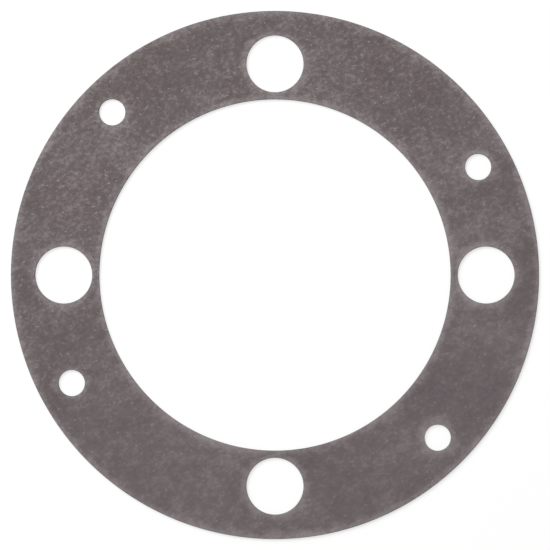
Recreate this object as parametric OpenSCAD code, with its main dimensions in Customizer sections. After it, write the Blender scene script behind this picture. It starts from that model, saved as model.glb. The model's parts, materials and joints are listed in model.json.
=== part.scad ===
// Flat gasket for a hub flange: one ring, die-cut from compressed fibre sheet.
// It lies on its lower face, z = 0, with the axis of the bore on +Z. Sizes are in millimetres.

/* [Stud holes] */
// Diameter of the circle that the flange's studs stand on
stud_circle_d = 101.6; // [90:0.1:140]
// Number of stud holes, evenly spaced from +X
stud_count = 4; // [3, 4, 6]
// Diameter of a stud hole
stud_hole_d = 13.7; // [9:0.1:16]

/* [Ring] */
// Width of the thin web between the bore and a stud hole
bore_web = 1.7; // [0.8:0.1:8]
// Width of the sheet left outside a stud hole
rim_land = 5.85; // [4:0.05:12]
// Thickness of the sheet
sheet_t = 0.8; // [0.4:0.1:3]

/* [Screw holes] */
// Diameter of a screw hole
screw_hole_d = 6.3; // [3:0.1:8]
// Width of the sheet left between a screw hole and the outside edge
screw_land = 5; // [2:0.1:8]
// Angle from +X to the first pair of opposite screw holes
first_pair_angle = 28; // [20:1:70]
// Angle from +X to the second pair of opposite screw holes
second_pair_angle = 135; // [110:1:160]

/* [Cut edges] */
// Radius that the die rolls onto the upper edge of every cut
die_roll_r = 0.15; // [0.05:0.01:0.3]

/* [Hidden] */
$fn = 128;

// The lands are what the joint needs, so the bore and the outside follow the studs
bore_d = stud_circle_d - stud_hole_d - 2 * bore_web;
outside_d = stud_circle_d + stud_hole_d + 2 * rim_land;
screw_circle_d = outside_d - screw_hole_d - 2 * screw_land;
stud_angles = [for (i = [0 : stud_count - 1]) i * 360 / stud_count];
screw_angles = [for (a = [first_pair_angle, second_pair_angle], turn = [0, 180]) a + turn];

// The roll never takes more than half the sheet, or more than a third of the web
roll_r = min(die_roll_r, sheet_t / 2, bore_web / 3);
// Sides of a full circle of the roll's radius, which is too small to need more
roll_sides = 32;
// How far a cutting shape runs past the faces that it cuts
cut_past = 1;

// Warm grey of the sheet
gasket_colour = "#706768";

// What the die presses away from a square edge: a corner piece around a quarter circle
module rolled_corner() {
    difference() {
        square(roll_r + cut_past);
        circle(roll_r, $fn = roll_sides);
    }
}

// Half-section of the ring: a strip of sheet with both upper edges rolled over
module ring_section() {
    roll_z = sheet_t - roll_r;
    difference() {
        translate([bore_d / 2, 0])
            square([(outside_d - bore_d) / 2, sheet_t]);
        translate([outside_d / 2 - roll_r, roll_z])
            rolled_corner();
        translate([bore_d / 2 + roll_r, roll_z])
            mirror([1, 0])
                rolled_corner();
    }
}

// The uncut ring
module ring() {
    rotate_extrude()
        ring_section();
}

// Half-section of a punch: the hole's radius, flared where the upper edge rolls over
module punch_section(hole_d) {
    translate([0, -cut_past])
        square([hole_d / 2, sheet_t + 2 * cut_past]);
    intersection() {
        translate([hole_d / 2 + roll_r, sheet_t - roll_r])
            mirror([1, 0])
                rolled_corner();
        translate([0, -cut_past])
            square([hole_d / 2 + roll_r, sheet_t + 2 * cut_past]);
    }
}

// Punches for holes of one size, at the given angles on a circle
module punches(circle_d, hole_d, angles) {
    for (a = angles)
        rotate(a)
            translate([circle_d / 2, 0, 0])
                rotate_extrude()
                    punch_section(hole_d);
}

// The whole gasket: the ring with its stud and screw holes punched out
module gasket() {
    color(gasket_colour)
        difference() {
            ring();
            punches(stud_circle_d, stud_hole_d, stud_angles);
            punches(screw_circle_d, screw_hole_d, screw_angles);
        }
}

gasket();
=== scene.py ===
"""A flat fibre gasket, die-cut from sheet, lying on a white floor."""

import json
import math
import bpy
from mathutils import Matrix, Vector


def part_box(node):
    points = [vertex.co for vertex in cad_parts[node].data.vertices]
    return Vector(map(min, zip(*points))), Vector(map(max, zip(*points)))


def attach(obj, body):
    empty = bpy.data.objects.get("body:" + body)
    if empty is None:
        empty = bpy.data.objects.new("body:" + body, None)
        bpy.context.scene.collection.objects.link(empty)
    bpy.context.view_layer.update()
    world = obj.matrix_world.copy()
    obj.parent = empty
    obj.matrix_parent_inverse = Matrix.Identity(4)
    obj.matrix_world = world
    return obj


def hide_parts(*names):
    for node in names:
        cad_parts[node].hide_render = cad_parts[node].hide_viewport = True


bl_info = {
    "name": "Flat fibre gasket",
    "version": (1, 0, 0),
    "blender": (4, 5, 0),
    "location": "View3D > Sidebar > Gasket",
    "description": "Cuts a flat fibre gasket out of sheet and lays it on a lit stage",
    "category": "Object",
}

import bmesh
import bpy
from bpy.props import FloatProperty, FloatVectorProperty, IntProperty, PointerProperty
from mathutils import Vector

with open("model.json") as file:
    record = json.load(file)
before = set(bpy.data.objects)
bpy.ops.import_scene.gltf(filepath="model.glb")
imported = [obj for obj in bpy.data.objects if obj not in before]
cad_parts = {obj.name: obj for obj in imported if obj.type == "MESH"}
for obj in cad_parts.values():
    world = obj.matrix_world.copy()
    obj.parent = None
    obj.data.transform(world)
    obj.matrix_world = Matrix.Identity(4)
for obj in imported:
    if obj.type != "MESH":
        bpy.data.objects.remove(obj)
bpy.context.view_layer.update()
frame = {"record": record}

NODE = "gasket"
PIECE = "gasket_sheet"
MM = 0.001

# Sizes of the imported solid
MOUNTS = {mount["name"]: mount for mount in frame["record"]["mounts"]}
BORE = MOUNTS["centre_bore"]["dims"]
STUDS = MOUNTS["stud_holes"]["dims"]
SCREWS = [mount for name, mount in MOUNTS.items() if name.startswith("screw_hole")]
LOWEST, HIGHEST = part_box(NODE)


def linear(hex_code):
    """Linear colour with full alpha from an sRGB hex value such as #706768."""
    channels = [int(hex_code[i:i + 2], 16) / 255 for i in (1, 3, 5)]
    rgb = [c / 12.92 if c <= 0.04045 else ((c + 0.055) / 1.055) ** 2.4 for c in channels]
    return (*rgb, 1.0)


class GasketSizes(bpy.types.PropertyGroup):
    """Sizes of the cut sheet, from the frame."""

    outside_d: FloatProperty(
        name="Outside", description="Diameter of the outside edge",
        default=2 * HIGHEST.x, min=0.02, unit="LENGTH")
    sheet_t: FloatProperty(
        name="Thickness", description="Thickness of the sheet",
        default=HIGHEST.z - LOWEST.z, min=0.0002, unit="LENGTH")
    bore_d: FloatProperty(
        name="Bore", description="Diameter of the bore",
        default=2 * BORE["r_mm"] * MM, min=0.01, unit="LENGTH")
    wall_h: FloatProperty(
        name="Cut wall", description="Height of the straight wall of a cut, under the rolled edge",
        default=BORE["length_mm"] * MM, min=0.0001, unit="LENGTH")
    stud_circle_d: FloatProperty(
        name="Stud circle", description="Diameter of the circle that the stud holes lie on",
        default=STUDS["pcd_mm"] * MM, min=0.01, unit="LENGTH")
    stud_count: IntProperty(
        name="Stud holes", description="Number of stud holes, evenly spaced from +X",
        default=STUDS["count"], min=1)
    stud_hole_d: FloatProperty(
        name="Stud hole", description="Diameter of a stud hole",
        default=2 * STUDS["hole_r_mm"] * MM, min=0.001, unit="LENGTH")
    screw_hole_d: FloatProperty(
        name="Screw hole", description="Diameter of a screw hole",
        default=2 * SCREWS[0]["dims"]["r_mm"] * MM, min=0.001, unit="LENGTH")


class GasketColours(bpy.types.PropertyGroup):
    """Colours of the fibre sheet."""

    sheet: FloatVectorProperty(
        name="Sheet", description="Warm grey of the bound fibre mass",
        default=linear("#6a6163"), size=4, min=0, max=1, subtype="COLOR")
    # The pale colour also carries the painted highlight beside every cut
    pale: FloatVectorProperty(
        name="Pale fibres", description="Fibres and specks that took little binder",
        default=linear("#8d8586"), size=4, min=0, max=1, subtype="COLOR")
    dark: FloatVectorProperty(
        name="Dark fibres", description="Fibres and specks soaked with binder",
        default=linear("#50494a"), size=4, min=0, max=1, subtype="COLOR")
    brown: FloatVectorProperty(
        name="Brown clouds", description="Broad clouds where the binder shows browner",
        default=linear("#685e5e"), size=4, min=0, max=1, subtype="COLOR")
    cut: FloatVectorProperty(
        name="Cut edge", description="Torn fibre on the walls of the cuts",
        default=linear("#8c8281"), size=4, min=0, max=1, subtype="COLOR")


class StageSettings(bpy.types.PropertyGroup):
    """Floor, light and camera."""

    picture_w: FloatProperty(
        name="Picture width", description="Width of the square picture at the upper face of the sheet",
        default=132.2 * MM, min=0.01, unit="LENGTH")
    lens_mm: FloatProperty(
        name="Lens", description="Focal length of the camera",
        default=180, min=20, unit="CAMERA")
    floor_w: FloatProperty(
        name="Floor", description="Width of the square floor",
        default=6, min=0.5, unit="LENGTH")
    sky_share: FloatProperty(
        name="Sky", description="Share of the light on the sheet that comes evenly from all round",
        default=0.4, min=0, max=1, subtype="FACTOR")
    key_distance: FloatProperty(
        name="Key distance", description="Distance from the gasket to the soft box",
        default=1.05, min=0.2, unit="LENGTH")
    key_height: FloatProperty(
        name="Key height", description="Angle of the soft box above the floor",
        default=math.radians(50), min=0.1, max=1.5, subtype="ANGLE")
    key_turn: FloatProperty(
        name="Key turn", description="Angle of the soft box round the gasket, from +X",
        default=math.radians(130), subtype="ANGLE")
    key_w: FloatProperty(
        name="Key size", description="Width of the square soft box",
        default=0.69, min=0.05, unit="LENGTH")


# The cut edges

# Faces round a quarter turn of the rolled edge
ROLL_STEPS = 5
# Width of the flat band beside every cut, which keeps the shading of the roll off the wide faces
RIM_BAND = 0.35 * MM
# Length of a straight step round a cut, and the least number of steps
STEP_LENGTH = 0.9 * MM
LEAST_STEPS = 64
# The number of steps is a multiple of this, so that every quarter of a cut is alike
STEP_GROUP = 8
# Points closer than this to a height or a circle lie on it
NEAR = 0.01 * MM
# A face whose normal rises or falls less than this stands upright
UPRIGHT = 0.05
# Edges that turn more than this stay sharp: the lower ones do, and the steps of the roll are smoothed
SMOOTH_ANGLE = math.radians(30)


def cuts(sizes):
    """Every cut as (centre, radius, side). The side is 1 if the sheet lies round the circle, else -1."""
    middle = Vector((0, 0, 0))
    found = [(middle, sizes.outside_d / 2, -1), (middle, sizes.bore_d / 2, 1)]
    for i in range(sizes.stud_count):
        turn = 2 * math.pi * i / sizes.stud_count
        centre = Vector((math.cos(turn), math.sin(turn), 0)) * sizes.stud_circle_d / 2
        found.append((centre, sizes.stud_hole_d / 2, 1))
    for screw in SCREWS:
        x, y, _ = screw["pos_m"]
        found.append((Vector((x, y, 0)), sizes.screw_hole_d / 2, 1))
    return found


def edge_section(sizes):
    """Section of a cut edge from the lower face to the upper one, as (depth into the sheet, height)."""
    roll = sizes.sheet_t - sizes.wall_h
    points = [(RIM_BAND, 0), (0, 0), (0, sizes.wall_h)]
    for i in range(1, ROLL_STEPS + 1):
        turn = math.pi / 2 * i / ROLL_STEPS
        points.append((roll * (1 - math.cos(turn)), sizes.wall_h + roll * math.sin(turn)))
    points.append((roll + RIM_BAND, sizes.sheet_t))
    return points


def add_cut_edge(sizes, centre, radius, side):
    """Adds a circle and extrudes it along the section of the cut edge, up the wall and over the roll."""
    (depth, height), *rest = edge_section(sizes)
    ring_r = radius + side * depth
    groups = round(2 * math.pi * radius / STEP_LENGTH / STEP_GROUP)
    steps = max(LEAST_STEPS, groups * STEP_GROUP)
    bpy.ops.mesh.primitive_circle_add(vertices=steps, radius=ring_r, location=centre, calc_uvs=False)
    if bpy.context.mode == "OBJECT":
        bpy.context.object.name = bpy.context.object.data.name = PIECE
        bpy.ops.object.mode_set(mode="EDIT")
        bpy.ops.mesh.select_mode(type="EDGE")
    for depth, next_height in rest:
        next_r = radius + side * depth
        rise = (0, 0, next_height - height)
        bpy.ops.mesh.extrude_region_move(TRANSFORM_OT_translate={"value": rise})
        grow = next_r / ring_r
        bpy.ops.transform.resize(value=(grow, grow, 1), center_override=centre)
        ring_r, height = next_r, next_height


def fill_face(mesh, height):
    """Fills the face of the sheet between all the open rims at one height."""
    bm = bmesh.from_edit_mesh(mesh)
    bpy.ops.mesh.select_all(action="DESELECT")
    for edge in bm.edges:
        level = all(abs(v.co.z - height) < NEAR for v in edge.verts)
        edge.select_set(level and edge.is_boundary)
    bmesh.update_edit_mesh(mesh)
    bpy.ops.mesh.fill(use_beauty=True)


def select_walls(mesh, wall_h):
    """Selects the straight walls of the cuts."""
    bm = bmesh.from_edit_mesh(mesh)
    bpy.ops.mesh.select_mode(type="FACE")
    bpy.ops.mesh.select_all(action="DESELECT")
    for face in bm.faces:
        face.select_set(abs(face.normal.z) < UPRIGHT and face.calc_center_median().z < wall_h)
    bmesh.update_edit_mesh(mesh)


# The map for the baked finish

MAP_NAME = "OFBake"
MAP_MIDDLE = Vector((0.5, 0.5))
# How far the map stretches the height of a wall, so that its layers keep a few pixels each
WALL_STRETCH = 2
# Space between the parts of the map, at the scale of the upper face
MAP_GAP = 0.5 * MM


def map_faces(mesh, sizes):
    """Maps the upper face flat, with each wall folded out from its rim and the lower face in the bore."""
    fold = WALL_STRETCH * sizes.sheet_t
    width = sizes.outside_d + 2 * (fold + MAP_GAP)
    lower_scale = (sizes.bore_d / 2 - fold - MAP_GAP) / (sizes.outside_d / 2)
    reach = RIM_BAND + sizes.sheet_t - sizes.wall_h + NEAR
    away = {}
    for centre, radius, side in cuts(sizes):
        for vertex in mesh.vertices:
            out = Vector((vertex.co.x, vertex.co.y, 0)) - centre
            if abs(out.length - radius) < reach:
                away[vertex.index] = -side * out.normalized()
    uv = mesh.uv_layers.new(name=MAP_NAME).data
    for face in mesh.polygons:
        lower = face.normal.z < -UPRIGHT
        for corner in face.loop_indices:
            index = mesh.loops[corner].vertex_index
            co = mesh.vertices[index].co
            if lower:
                flat = Vector((-co.x, co.y, 0)) * lower_scale
            else:
                flat = co + away[index] * WALL_STRETCH * (sizes.sheet_t - co.z)
            uv[corner].uv = MAP_MIDDLE + flat.xy / width


# Finishes

PER_MM = 1 / MM
# Sockets of a Mix node that mixes colours: three inputs and an output
FACTOR, FIRST, SECOND = 0, 6, 7
MIXED = 2
# Middle of a noise's levels, and the levels that most of it lies between
NOISE_MIDDLE = (0.5, 0.5, 0.5)
NOISE_RANGE = (0.3, 0.7)
# Steps of finer noise in the clouds, the uneven edge of the painted highlight beside the cuts and the
# torn layers. The others keep the usual 2
MORE_DETAIL = 3
# Felt lets most light in between its fibres, so it shines less than a closed surface
FELT_SPECULAR = 0.2
# Size of the felt's grain, in millimetres
GRAIN_MM = 0.4


def add(tree, kind, inputs=None, **settings):
    """Adds a shader node and gives its outputs. An input is a value, or the output that feeds it."""
    made = tree.nodes.new("ShaderNode" + kind)
    for name, value in settings.items():
        setattr(made, name, value)
    for name, value in (inputs or {}).items():
        if isinstance(value, bpy.types.NodeSocket):
            tree.links.new(value, made.inputs[name])
        else:
            made.inputs[name].default_value = value
    return made.outputs


def new_tree(name):
    """A new material and its emptied node tree."""
    material = bpy.data.materials.new(name)
    material.use_nodes = True
    material.node_tree.nodes.clear()
    return material, material.node_tree


# Real fibres are about 0.02 mm thick: these are bundles, drawn wide enough to show in the picture.
# Each layer as (width of the cells that hold a fibre each, half width of a fibre, shift), in millimetres
FIBRE_LAYERS = ((2.8, 0.12, 0), (2.1, 0.12, 37), (1.6, 0.1, 71), (1, 0.06, 113), (0.7, 0.06, 151))
# Half length of the shortest and the longest fibre, and length of its thin end, as shares of its cell
FIBRE_REACH = (0.3, 0.6)
FIBRE_END = 0.1
# Length over which a fibre bends, in millimetres
FIBRE_WAVE_MM = 1.6
# How far a fibre turns at most from the direction that the sheet was rolled in
FIBRE_STRAY = math.radians(75)
# Tone of the darkest and the palest fibre: 1 is the pale colour, -1 the dark one
FIBRE_TONES = (-0.36, 0.5)


def fibres(tree, spot):
    """Short fibres along X, as (tone, height). Each cell of a layer holds one, with turn, length and tone
    by chance."""
    sway = add(tree, "TexNoise", {"Vector": spot, "Scale": 1 / FIBRE_WAVE_MM})["Color"]
    sway = add(tree, "VectorMath", {0: sway, 1: NOISE_MIDDLE}, operation="SUBTRACT")[0]
    bent = add(tree, "VectorMath", {0: spot, 1: sway}, operation="ADD")[0]
    tone = height = 0
    for cell, half_width, shift in FIBRE_LAYERS:
        moved = add(tree, "VectorMath", {0: bent, 1: (shift, -shift, 0)}, operation="ADD")[0]
        cells = add(tree, "TexVoronoi", {"Vector": moved, "Scale": 1 / cell}, voronoi_dimensions="2D")
        chance = add(tree, "SeparateColor", {"Color": cells["Color"]})
        local = add(tree, "VectorMath", {0: moved, 1: cells["Position"]}, operation="SUBTRACT")[0]
        angle = add(tree, "MapRange", {
            "Value": chance["Red"], "To Min": -FIBRE_STRAY, "To Max": FIBRE_STRAY})[0]
        turned = add(tree, "VectorRotate", {"Vector": local, "Angle": angle}, rotation_type="Z_AXIS")[0]
        along, across, _ = add(tree, "SeparateXYZ", {"Vector": turned})
        across = add(tree, "Math", {0: across}, operation="ABSOLUTE")[0]
        along = add(tree, "Math", {0: along}, operation="ABSOLUTE")[0]
        width = add(tree, "MapRange", {
            "Value": across, "From Min": half_width, "From Max": 0.0,
        }, interpolation_type="SMOOTHSTEP")[0]
        least, most = (share * cell for share in FIBRE_REACH)
        reach = add(tree, "MapRange", {"Value": chance["Green"], "To Min": least, "To Max": most})[0]
        left = add(tree, "Math", {0: reach, 1: along}, operation="SUBTRACT")[0]
        length = add(tree, "MapRange", {
            "Value": left, "From Min": 0.0, "From Max": FIBRE_END * cell,
        }, interpolation_type="SMOOTHSTEP")[0]
        shape = add(tree, "Math", {0: width, 1: length}, operation="MULTIPLY")[0]
        shade = add(tree, "MapRange", {
            "Value": chance["Blue"], "To Min": FIBRE_TONES[0], "To Max": FIBRE_TONES[1]})[0]
        tone = add(tree, "Math", {0: shape, 1: shade, 2: tone}, operation="MULTIPLY_ADD")[0]
        height = add(tree, "Math", {0: shape, 1: height}, operation="ADD")[0]
    return tone, height


# Least and most width of the painted highlight beside a cut, and the length over which its width varies,
# in millimetres, and its tone at the cut
RIM_MM = (1.2, 3.4)
RIM_WAVE_MM = 4
RIM_TONE = 0.62


def painted_edge_highlight(tree, spot, sizes):
    """Painted highlight beside every cut, as if light caught a bevel: palest at the cut, uneven in width.
    """
    flat = add(tree, "VectorMath", {0: spot, 1: (1, 1, 0)}, operation="MULTIPLY")[0]
    nearest = sizes.outside_d / MM
    for centre, radius, side in cuts(sizes):
        away = add(tree, "VectorMath", {0: flat, 1: centre / MM}, operation="DISTANCE")["Value"]
        gap = add(tree, "Math", {0: away, 1: side, 2: -side * radius / MM}, operation="MULTIPLY_ADD")[0]
        nearest = add(tree, "Math", {0: gap, 1: nearest}, operation="MINIMUM")[0]
    band_wobble = add(tree, "TexNoise", {"Vector": spot, "Scale": 1 / RIM_WAVE_MM, "Detail": MORE_DETAIL})["Fac"]
    width = add(tree, "MapRange", {
        "Value": band_wobble, "From Min": NOISE_RANGE[0], "From Max": NOISE_RANGE[1],
        "To Min": RIM_MM[0], "To Max": RIM_MM[1]})[0]
    return add(tree, "MapRange", {
        "Value": nearest, "From Min": width, "From Max": 0.0, "To Max": RIM_TONE,
    }, interpolation_type="SMOOTHSTEP")[0]


# Shades of the felt, each a noise as
# (size in millimetres, level where it starts, level where it is full, tones at these levels)
FLECK_SHADES = (
    (0.95, 0.36, 0.74, -0.15, 0.29),
    (0.75, 0.63, 0.72, 0, 0.8),
    (GRAIN_MM, 0.25, 0.75, -0.1, 0.1),
)
CLOUD_SHADES = (
    (20, *NOISE_RANGE, -0.18, 0.18),
    (2.6, *NOISE_RANGE, -0.15, 0.15),
)


def shaded(tree, tone, spot, shades):
    """The tone with soft shades of the felt added to it."""
    for size, start, full, start_tone, full_tone in shades:
        noise = add(tree, "TexNoise", {"Vector": spot, "Scale": 1 / size})["Fac"]
        shade = add(tree, "MapRange", {
            "Value": noise, "From Min": start, "From Max": full,
            "To Min": start_tone, "To Max": full_tone,
        }, interpolation_type="SMOOTHSTEP")[0]
        tone = add(tree, "Math", {0: tone, 1: shade}, operation="ADD")[0]
    return tone


# Direction that the rolls drew the sheet in, from +X, and how much longer its shades are along it
DRAWN_TURN = math.radians(22)
DRAWN_OUT = 1.25
# Place in the endless pattern that the gasket is cut from, in millimetres
SHADE_SHIFT_MM = (474, 274, 0)
# Fibre and binder part a little across the rolls: over this width, in millimetres, the flecks grow from
# faint to strong and the brown clouds from few to many
DRIFT_MM = 100
FLECK_GAIN = (0.6, 1.3)
BROWN_GAIN = (-0.08, 0.08)
# Size of the brown clouds, in millimetres, and the levels of their noise where they start and are full
BROWN_MM = 18
BROWN_LEVELS = (0.42, 0.66)
# Depth of the relief, how far the fibres stand out against the grain, and the least and most roughness
SHEET_RELIEF = 0.02 * MM
FIBRE_RELIEF = 0.6
SHEET_ROUGHNESS = (0.68, 0.84)


def fibre_sheet(colours, sizes):
    """Compressed fibre sheet, rolled flat while its binder set. To the eye it is a matte warm grey felt
    of short pale and dark fibres, most of them along the rolls, with soft clouds where the mix was
    uneven."""
    material, tree = new_tree("compressed_fibre_sheet")
    place = add(tree, "TexCoord")["Object"]
    spot = add(tree, "VectorMath", {0: place, "Scale": PER_MM}, operation="SCALE")[0]
    laid = add(tree, "VectorRotate", {"Vector": spot, "Angle": -DRAWN_TURN}, rotation_type="Z_AXIS")[0]
    drawn = add(tree, "VectorMath", {
        0: laid, 1: (1 / DRAWN_OUT, 1, 1), 2: SHADE_SHIFT_MM}, operation="MULTIPLY_ADD")[0]
    across = add(tree, "SeparateXYZ", {"Vector": laid})["Y"]
    drift = add(tree, "MapRange", {
        "Value": across, "From Min": -DRIFT_MM / 2, "From Max": DRIFT_MM / 2,
    }, interpolation_type="SMOOTHSTEP")[0]

    tone, height = fibres(tree, laid)
    tone = shaded(tree, tone, drawn, FLECK_SHADES)
    gain = add(tree, "MapRange", {"Value": drift, "To Min": FLECK_GAIN[0], "To Max": FLECK_GAIN[1]})[0]
    tone = add(tree, "Math", {0: tone, 1: gain}, operation="MULTIPLY")[0]
    tone = shaded(tree, tone, drawn, CLOUD_SHADES)
    # A pale band beside every cut, painted as a highlight, as if light caught a bevel
    rim = painted_edge_highlight(tree, spot, sizes)
    tone = add(tree, "Math", {0: tone, 1: rim}, operation="ADD")[0]
    soaked = add(tree, "Math", {0: tone, 1: -1}, operation="MULTIPLY")[0]

    clouds = add(tree, "TexNoise", {"Vector": drawn, "Scale": 1 / BROWN_MM, "Detail": MORE_DETAIL})["Fac"]
    gain = add(tree, "MapRange", {"Value": drift, "To Min": BROWN_GAIN[0], "To Max": BROWN_GAIN[1]})[0]
    clouds = add(tree, "Math", {0: clouds, 1: gain}, operation="ADD")[0]
    brown = add(tree, "MapRange", {
        "Value": clouds, "From Min": BROWN_LEVELS[0], "From Max": BROWN_LEVELS[1],
    }, interpolation_type="SMOOTHSTEP")[0]
    base = colours.sheet
    for factor, colour in ((brown, colours.brown), (tone, colours.pale), (soaked, colours.dark)):
        base = add(tree, "Mix", {FACTOR: factor, FIRST: base, SECOND: colour}, data_type="RGBA")[MIXED]

    grain = add(tree, "TexNoise", {"Vector": drawn, "Scale": 1 / GRAIN_MM})["Fac"]
    relief = add(tree, "Math", {0: height, 1: FIBRE_RELIEF, 2: grain}, operation="MULTIPLY_ADD")[0]
    bump = add(tree, "Bump", {"Height": relief, "Distance": SHEET_RELIEF})[0]
    rough = add(tree, "MapRange", {
        "Value": grain, "To Min": SHEET_ROUGHNESS[0], "To Max": SHEET_ROUGHNESS[1]})[0]
    skin = add(tree, "BsdfPrincipled", {
        "Base Color": base, "Roughness": rough, "Specular IOR Level": FELT_SPECULAR, "Normal": bump})[0]
    add(tree, "OutputMaterial", {"Surface": skin})
    return material


# Thickness of the torn layers in a cut wall and how far one runs, in millimetres
LAYER_MM = 0.12
LAYER_RUN_MM = 2.5
# Share of the tufts beside the layers, and the levels of both together that are brown and pale
TUFT_SHARE = 0.5
WALL_LEVELS = (0.55, 0.95)
# Depth of the relief, and the roughness
WALL_RELIEF = 0.04 * MM
WALL_ROUGHNESS = 0.9


def cut_fibre_edge(colours):
    """The same sheet where the die sheared it. To the eye it is torn fibre in thin layers, rougher than
    the skin and dull, with pale tufts where a layer tore."""
    material, tree = new_tree("cut_fibre_edge")
    place = add(tree, "TexCoord")["Object"]
    run, rise = PER_MM / LAYER_RUN_MM, PER_MM / LAYER_MM
    layers = add(tree, "Mapping", {"Vector": place, "Scale": (run, run, rise)})[0]
    streaks = add(tree, "TexNoise", {"Vector": layers, "Scale": 1, "Detail": MORE_DETAIL})["Fac"]
    tufts = add(tree, "TexNoise", {"Vector": place, "Scale": PER_MM / GRAIN_MM})["Fac"]
    tone = add(tree, "Math", {0: tufts, 1: TUFT_SHARE, 2: streaks}, operation="MULTIPLY_ADD")[0]
    torn = add(tree, "MapRange", {
        "Value": tone, "From Min": WALL_LEVELS[0], "From Max": WALL_LEVELS[1]})[0]
    base = add(tree, "Mix", {
        FACTOR: torn, FIRST: colours.brown, SECOND: colours.cut}, data_type="RGBA")[MIXED]
    bump = add(tree, "Bump", {"Height": tone, "Distance": WALL_RELIEF})[0]
    wall = add(tree, "BsdfPrincipled", {
        "Base Color": base, "Roughness": WALL_ROUGHNESS, "Specular IOR Level": FELT_SPECULAR,
        "Normal": bump})[0]
    add(tree, "OutputMaterial", {"Surface": wall})
    return material


class GASKET_OT_cut_gasket(bpy.types.Operator):
    """Cut the gasket: extrude every cut edge from its circle, fill both faces and add the finish"""

    bl_idname = "gasket.cut_gasket"
    bl_label = "Cut the gasket"
    bl_options = {"REGISTER", "UNDO"}

    def execute(self, context):
        sizes, colours = context.scene.gasket_sizes, context.scene.gasket_colours
        bpy.ops.object.select_all(action="DESELECT")
        for centre, radius, side in cuts(sizes):
            add_cut_edge(sizes, centre, radius, side)
        piece = context.object
        for height in (0, sizes.sheet_t):
            fill_face(piece.data, height)
        bpy.ops.mesh.select_all(action="SELECT")
        bpy.ops.mesh.normals_make_consistent(inside=False)
        for material in (fibre_sheet(colours, sizes), cut_fibre_edge(colours)):
            piece.data.materials.append(material)
        # The walls take the second material, and the rest keeps the first
        select_walls(piece.data, sizes.wall_h)
        piece.active_material_index = 1
        bpy.ops.object.material_slot_assign()
        bpy.ops.object.mode_set(mode="OBJECT")
        bpy.ops.object.shade_smooth_by_angle(angle=SMOOTH_ANGLE)
        map_faces(piece.data, sizes)
        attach(piece, "root")
        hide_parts(NODE)
        return {"FINISHED"}


# The stage

# The floor lies this far under the sheet, so that no two faces share a plane
FLOOR_DROP = 0.02 * MM
# Share of the light that the board throws back, and the glow added to it that makes it white to the eye
FLOOR_DIFFUSE = 0.36
FLOOR_GLOW = 0.66
# Strength of the sky to the eye: plain white
SKY_SEEN = 1.0
WHITE = (1, 1, 1, 1)


def seen_directly(tree):
    """1 for rays that show the stage, straight or in a reflection, and 0 for the light that it gives."""
    path = add(tree, "LightPath")
    seen = path["Is Camera Ray"]
    for name in ("Is Glossy Ray", "Is Transmission Ray"):
        seen = add(tree, "Math", {0: seen, 1: path[name]}, operation="MAXIMUM")[0]
    return seen


def white_floor():
    """Matte white board. It takes the gasket's shadow, and a glow seen only by the eye makes it white."""
    material, tree = new_tree("matte_white_board")
    glow = add(tree, "Math", {0: seen_directly(tree), 1: FLOOR_GLOW}, operation="MULTIPLY")[0]
    board = add(tree, "BsdfDiffuse", {"Color": (FLOOR_DIFFUSE,) * 3 + (1,)})[0]
    light = add(tree, "Emission", {"Color": WHITE, "Strength": glow})[0]
    both = add(tree, "AddShader", {0: board, 1: light})[0]
    add(tree, "OutputMaterial", {"Surface": both})
    return material


def white_sky(share):
    """Even white all round: the stage's background to the eye, and a weaker fill light on the gasket."""
    world = bpy.data.worlds.new("white_sky")
    world.use_nodes = True
    tree = world.node_tree
    tree.nodes.clear()
    strength = add(tree, "MapRange", {
        "Value": seen_directly(tree), "To Min": share, "To Max": SKY_SEEN})[0]
    sky = add(tree, "Background", {"Color": WHITE, "Strength": strength})[0]
    add(tree, "OutputWorld", {"Surface": sky})
    return world


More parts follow.
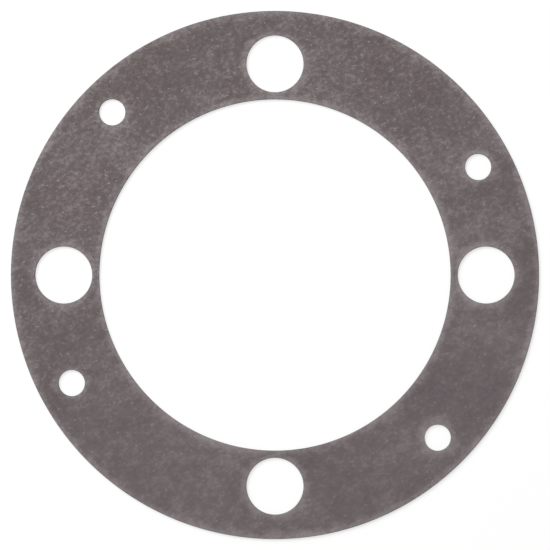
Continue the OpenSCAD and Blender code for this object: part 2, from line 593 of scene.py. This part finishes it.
class GASKET_OT_set_stage(bpy.types.Operator):
    """Set the stage: a white floor, an even sky, a soft box at the upper left and a camera above"""

    bl_idname = "gasket.set_stage"
    bl_label = "Set the stage"
    bl_options = {"REGISTER", "UNDO"}

    def execute(self, context):
        stage, sizes = context.scene.gasket_stage, context.scene.gasket_sizes
        context.scene.view_settings.view_transform = "Standard"
        bpy.ops.object.select_all(action="DESELECT")
        bpy.ops.mesh.primitive_plane_add(size=stage.floor_w, location=(0, 0, -FLOOR_DROP))
        floor = context.object
        floor.name = "floor"
        floor.data.materials.append(white_floor())
        context.scene.world = white_sky(stage.sky_share)

        flat = math.cos(stage.key_height)
        x, y = flat * math.cos(stage.key_turn), flat * math.sin(stage.key_turn)
        towards = Vector((x, y, math.sin(stage.key_height)))
        bpy.ops.object.light_add(type="AREA", location=towards * stage.key_distance)
        key = context.object
        key.name = "soft_box"
        key.rotation_euler = towards.to_track_quat("Z", "Y").to_euler()
        key.data.size = stage.key_w
        # Power at which the soft box gives its share of the light that shows a colour as written
        key_share = 1 - stage.sky_share
        spread = stage.key_distance ** 2 + stage.key_w ** 2 / math.pi
        key.data.energy = key_share * math.pi ** 2 * spread / towards.z

        bpy.ops.object.camera_add(rotation=(0, 0, 0))
        camera = context.object
        camera.data.lens = stage.lens_mm
        camera.location.z = sizes.sheet_t + stage.picture_w * stage.lens_mm / camera.data.sensor_width
        context.scene.camera = camera
        return {"FINISHED"}


class GASKET_PT_panel(bpy.types.Panel):
    """Sizes, colours and stage of the gasket"""

    bl_idname = "GASKET_PT_panel"
    bl_label = "Flat gasket"
    bl_space_type = "VIEW_3D"
    bl_region_type = "UI"
    bl_category = "Gasket"

    def draw(self, context):
        scene = context.scene
        for title, group, operator in (
            ("Sizes", scene.gasket_sizes, None),
            ("Colours", scene.gasket_colours, GASKET_OT_cut_gasket),
            ("Stage", scene.gasket_stage, GASKET_OT_set_stage),
        ):
            box = self.layout.box()
            box.label(text=title)
            for name in group.__annotations__:
                box.prop(group, name)
            if operator:
                box.operator(operator.bl_idname)


CLASSES = (
    GasketSizes, GasketColours, StageSettings,
    GASKET_OT_cut_gasket, GASKET_OT_set_stage, GASKET_PT_panel,
)


def register():
    for cls in CLASSES:
        bpy.utils.register_class(cls)
    bpy.types.Scene.gasket_sizes = PointerProperty(type=GasketSizes)
    bpy.types.Scene.gasket_colours = PointerProperty(type=GasketColours)
    bpy.types.Scene.gasket_stage = PointerProperty(type=StageSettings)


def unregister():
    for name in ("gasket_stage", "gasket_colours", "gasket_sizes"):
        delattr(bpy.types.Scene, name)
    for cls in reversed(CLASSES):
        bpy.utils.unregister_class(cls)


def main():
    register()
    bpy.ops.gasket.cut_gasket()
    bpy.ops.gasket.set_stage()


if __name__ == "__main__":
    main()
